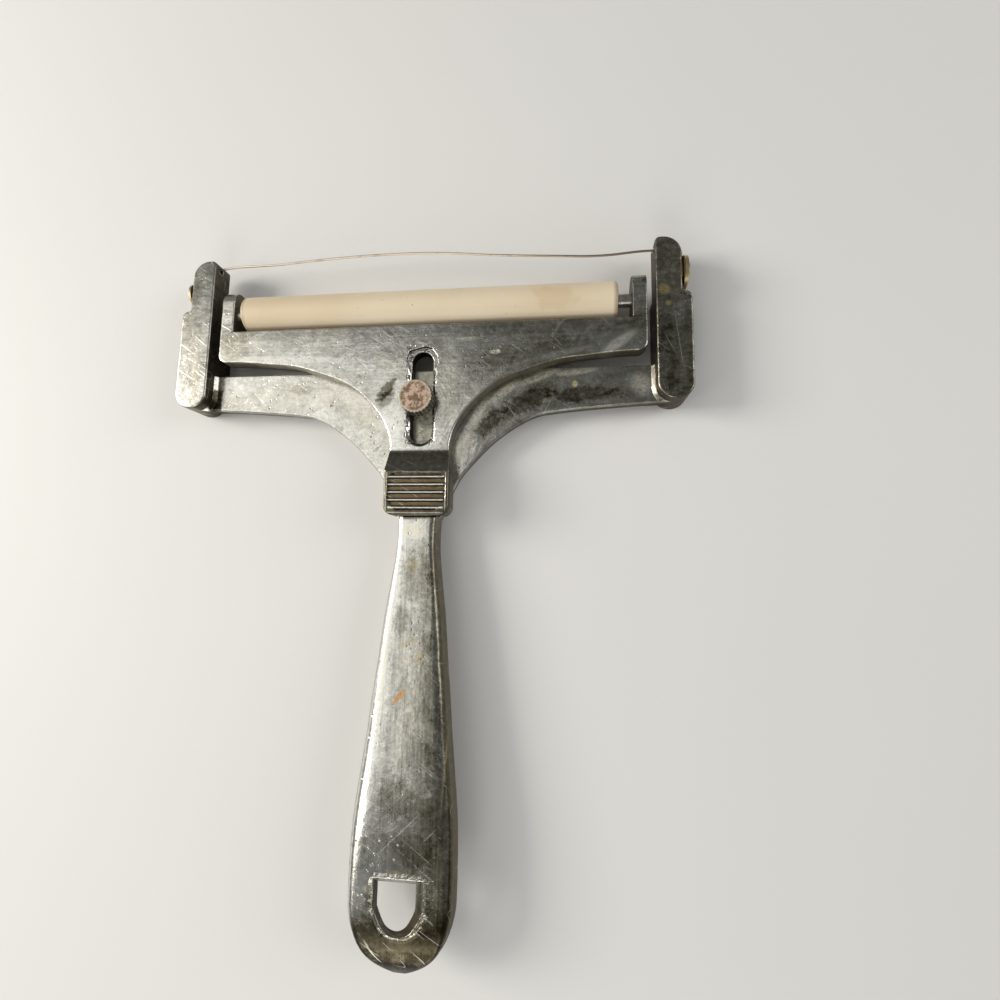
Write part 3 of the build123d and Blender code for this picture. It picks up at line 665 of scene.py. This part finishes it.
def ivoryPlastic():
    f = Finish("ivoryPlastic")
    x, y, z = f.axes()
    broad = f.noise(35.0, 3.0, 0.5)
    fine = f.noise(600.0, 4.0, 0.6)
    specks = f.cells(330.0).step(0.09, 0.03) * f.noise(90.0, 2.0).step(0.42, 0.6)
    # Grime and painted shade on the roller's end faces
    ends = abs(x).step(0.0474, 0.0482) * (0.5 + fine * 0.6)
    stain = f.patch(0.0330, 0.0690, 0.0060, 0.0030, 0.0, (f.noise(300.0, 4.0) - 0.5) * 2.0)
    colour = f.mix(broad.step(0.35, 0.7) * 0.4, ivory["clean"], ivory["yellow"])
    # Painted shade: the roller's left end yellower and darker
    colour = f.mix(x.step(-0.030, -0.048) * 0.3, colour, ivory["yellow"])
    colour = f.mix(stain * 0.5, colour, ivory["yellow"])
    colour = f.mix(fine.step(0.55, 0.8) * 0.2, colour, ivory["yellow"])
    colour = f.mix(specks * 0.7, colour, ivory["grimeAndShade"])
    colour = f.mix(ends * 0.55, colour, ivory["grimeAndShade"])
    rough = 0.36 + fine * 0.14 + specks * 0.2
    turned = f.noise(1.0, 2.0, 0.5, f.scaled(1500.0, 40.0, 40.0))
    grain = f.bump(turned, 0.00001, 0.5)
    normal = f.bump(f.noise(220.0, 3.0), 0.00006, 0.35, grain)
    return f.paint(colour, rough, 0.0, normal)


axle = {
    "bright": (0.66, 0.64, 0.58),
    "dull": (0.36, 0.33, 0.28),
    "spot": (0.12, 0.08, 0.04),
    "grimeAndShade": (0.06, 0.04, 0.02),
    "smooth": 0.2,
    "turns": (1800.0, 50.0, 50.0),
}


def turnedSteel(name):
    # Steel with the fine rings of turning and a dusting of tarnish
    f = Finish(name)
    rings = f.noise(1.0, 2.0, 0.6, f.scaled(*axle["turns"]))
    cloud = f.noise(500.0, 4.0, 0.65)
    spots = f.noise(1500.0, 2.0, 0.6).step(0.56, 0.7)
    # Grime and painted shade in the corners round the axle
    grimeAndShade = (f.occlusion(0.0016) * 1.5).step(0.3, 1.0)
    colour = f.mix(cloud.step(0.4, 0.7), axle["bright"], axle["dull"])
    colour = f.mix(spots * 0.5, colour, axle["spot"])
    colour = f.mix(grimeAndShade * 0.8, colour, axle["grimeAndShade"])
    rough = axle["smooth"] + cloud * 0.2 + spots * 0.2
    return f.paint(colour, rough, 1.0 - grimeAndShade * 0.5, f.bump(rings, 0.00002, 0.6))


# Drawn wire: smooth along its length, with a warm painted highlight at the left and painted shade
# towards the right
wireLitAndShaded = {"bright": (0.90, 0.80, 0.66), "dull": (0.30, 0.23, 0.16), "rough": 0.3}


def drawnWire():
    f = Finish("wireSteel")
    x, y, z = f.axes()
    cloud = f.noise(300.0, 3.0, 0.6)
    colour = f.mix(x.step(0.010, 0.045) * 0.8, wireLitAndShaded["bright"], wireLitAndShaded["dull"])
    colour = f.mix(cloud.step(0.5, 0.75) * 0.4, colour, wireLitAndShaded["dull"])
    return f.paint(colour, wireLitAndShaded["rough"] + cloud * 0.1, 1.0)


# Thumb screw: pitted brown head with a paler rim, dark knurled side darkened further as painted
# shade
screw = {
    "middle": 0.0441825,
    "skin": (0.66, 0.50, 0.39),
    "pit": (0.20, 0.125, 0.075),
    "blot": (0.20, 0.13, 0.085),
    "dust": (0.72, 0.60, 0.48),
    "rim": (0.74, 0.66, 0.52),
    "side": (0.16, 0.135, 0.10),
    "sideDark": (0.045, 0.034, 0.022),
    "edge": (0.80, 0.76, 0.66),
}


def wornScrew():
    f = Finish("wornScrew")
    x, y, z = f.axes()
    blotch = f.noise(900.0, 5.0, 0.75)
    grain = f.noise(3000.0, 3.0, 0.7)
    edge = (f.edgeWearAndGlint(0.00035) * 6.0 * f.noise(700.0, 2.0).step(0.3, 0.6)).step(0.1, 0.8)
    away = y - screw["middle"]
    rim = ((x * x + away * away) ** 0.5).step(0.0033, 0.0038)
    skin = f.mix(blotch.step(0.44, 0.56), screw["skin"], screw["pit"])
    skin = f.mix(grain.step(0.5, 0.66) * 0.5, skin, screw["dust"])
    skin = f.mix(f.noise(450.0, 3.0, 0.6).step(0.5, 0.62) * 0.5, skin, screw["blot"])
    skin = f.mix(rim * 0.55, skin, screw["rim"])
    # Painted shade on the knurled side, over its dark metal
    side = f.mix(blotch.step(0.45, 0.6), screw["side"], screw["sideDark"])
    colour = f.mix(z.step(0.01335, 0.01355), side, skin)
    # Worn edges, brightened as a painted highlight too
    colour = f.mix(edge * 0.75, colour, screw["edge"])
    normal = f.bump(blotch, 0.00012, 0.6, f.bump(grain, 0.00003, 0.5))
    return f.paint(colour, 0.38 + blotch * 0.3, 0.8, normal)


brass = {
    "bright": (0.66, 0.53, 0.30),
    "dull": (0.40, 0.32, 0.17),
    "spot": (0.16, 0.11, 0.05),
    "edge": (0.80, 0.70, 0.46),
    "grimeAndShade": (0.07, 0.05, 0.02),
}


def screwBrass():
    f = Finish("screwBrass")
    cloud = f.noise(450.0, 4.0, 0.65)
    spots = f.noise(1800.0, 3.0, 0.6).step(0.55, 0.7)
    edge = (f.edgeWearAndGlint(0.0004) * 6.0).step(0.1, 0.8)
    # Grime and painted shade in the corners round the screw heads
    grimeAndShade = (f.occlusion(0.001) * 1.6).step(0.3, 1.0)
    colour = f.mix(cloud.step(0.38, 0.66), brass["bright"], brass["dull"])
    colour = f.mix(spots * 0.5, colour, brass["spot"])
    # Worn edges, brightened as a painted highlight too
    colour = f.mix(edge * 0.6, colour, brass["edge"])
    colour = f.mix(grimeAndShade * 0.8, colour, brass["grimeAndShade"])
    rough = 0.26 + cloud * 0.25 + grimeAndShade * 0.3
    return f.paint(colour, rough, 1.0 - grimeAndShade * 0.5, f.bump(cloud, 0.00006, 0.5))


def dress(name, material):
    # The CAD object stays as it is, with the material in each of its slots
    slots = nodes[name].data.materials
    if len(slots) == 0:
        slots.append(material)
    for index in range(len(slots)):
        slots[index] = material


dress("frame", platedCasting("platedFrame", 0.0, frameLook))
dress("slide_plate", platedCasting("platedSlide", 3.1, plateLook))
dress("roller", ivoryPlastic())
dress("roller_axle", turnedSteel("axleSteel"))
dress("cutting_wire", drawnWire())
dress("thumb_screw", wornScrew())
sideScrewBrass = screwBrass()
dress("wire_screw_right", sideScrewBrass)
dress("wire_screw_left", sideScrewBrass)
print("finishes done")


# Studio: a broad soft card for the metal to reflect, plain key, fill and low lamps, and a rim
studio = {
    "floor": (0.80, 0.795, 0.78),
    "floorSpot": (0.77, 0.765, 0.75),
    "floorHalf": 1.2,
    "world": (0.97, 1.0, 1.0),
    "worldStrength": 0.16,
    "cardPlace": (-0.33, 0.04, 0.48),
    "cardSize": 0.5,
    "cardPower": 0.64,
    "cardColour": (1.0, 0.975, 0.92),
    "keyPlace": (-0.80, 0.14, 0.42),
    "keySize": 0.35,
    "keyPower": 6.5,
    "keyColour": (1.0, 0.955, 0.88),
    "fillPlace": (0.8, 0.2, 0.42),
    "fillSize": 0.5,
    "fillPower": 2.6,
    "fillColour": (1.0, 1.0, 1.0),
    "lowPlace": (-0.1, -0.85, 0.45),
    "lowSize": 0.5,
    "lowPower": 2.6,
    "lowColour": (1.0, 0.98, 0.94),
    "rimPlace": (-0.52, -0.28, 0.46),
    "rimSize": 0.2,
    "rimPower": 0.42,
    "rimColour": (1.0, 0.97, 0.90),
}

bpy.ops.object.select_all(action="DESELECT")
bpy.ops.mesh.primitive_plane_add(size=studio["floorHalf"] * 2.0, location=(0.0, 0.0, -0.0001))
floor = bpy.context.object
floor.name = "studioFloor"
floorPaint = Finish("paleFloor")
floorSpots = floorPaint.noise(8.0, 2.0).step(0.3, 0.7) * 0.3
floorTone = floorPaint.mix(floorSpots, studio["floor"], studio["floorSpot"])
floor.data.materials.append(floorPaint.paint(floorTone, 0.7, 0.0))


def softbox(name):
    bpy.ops.object.light_add(type="AREA", location=studio[name + "Place"])
    lamp = bpy.context.object
    lamp.name = name + "Softbox"
    lamp.data.shape = "SQUARE"
    lamp.data.size = studio[name + "Size"]
    lamp.data.energy = studio[name + "Power"]
    lamp.data.color = studio[name + "Colour"]
    aim = -lamp.location
    lamp.rotation_euler = aim.to_track_quat("-Z", "Y").to_euler()


for lampName in ("card", "key", "fill", "low", "rim"):
    softbox(lampName)

world = bpy.data.worlds.new("studioWorld")
bpy.context.scene.world = world
world.use_nodes = True
background = world.node_tree.nodes["Background"]
background.inputs["Color"].default_value = (*studio["world"], 1.0)
background.inputs["Strength"].default_value = studio["worldStrength"]

# Camera close above the right of the plate, as the photograph was taken
view = {
    "place": (0.03512, 0.00446, 0.13187),
    "turn": (6.989, 6.634, 0.911),
    "lens": 18.72,
    "sensor": 36.0,
    "clipStart": 0.005,
}
bpy.ops.object.camera_add(location=view["place"], rotation=[radians(a) for a in view["turn"]])
camera = bpy.context.object
camera.name = "photoCamera"
camera.data.lens = view["lens"]
camera.data.sensor_width = view["sensor"]
camera.data.clip_start = view["clipStart"]
bpy.context.scene.camera = camera
bpy.context.scene.view_settings.view_transform = "Standard"
print("studio and camera done")
